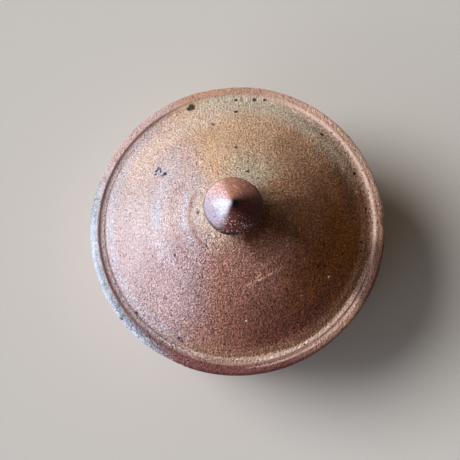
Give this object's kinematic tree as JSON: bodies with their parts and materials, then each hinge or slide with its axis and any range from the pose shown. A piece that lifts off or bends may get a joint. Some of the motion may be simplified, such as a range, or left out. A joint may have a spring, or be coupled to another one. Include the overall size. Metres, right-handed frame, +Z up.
{
  "type": "salt jar",
  "caption": "Squat round stoneware salt jar with a foot ring and a lift-off conical lid, which has a rolled rim, a locating ring underneath and a pointed knob.",
  "frame": {"origin": "centre of the foot, on the surface that the jar stands on", "axes": "+Z up along the jar's axis; the jar is round, so X and Y are free"},
  "size_m": [0.1, 0.1, 0.0839],
  "materials": {
    "jar_clay": "unglazed wood-fired stoneware, matt with a slight sheen",
    "lid_clay": "unglazed wood-fired stoneware, sandy, with ash-grey and golden flashes",
    "ring_clay": "unglazed bare stoneware, matt",
    "knob_clay": "unglazed dark red-brown stoneware, fine sheen"
  },
  "bodies": {
    "jar": {"jar_body": "jar_clay"},
    "lid": {"lid": "lid_clay", "locating_ring": "ring_clay", "knob": "knob_clay"}
  },
  "joints": [
    {"name": "lid_lift", "type": "slide", "parent": "jar", "child": "lid", "axis": [0, 0, 1], "range_m": [0, 0.06]}
  ]
}
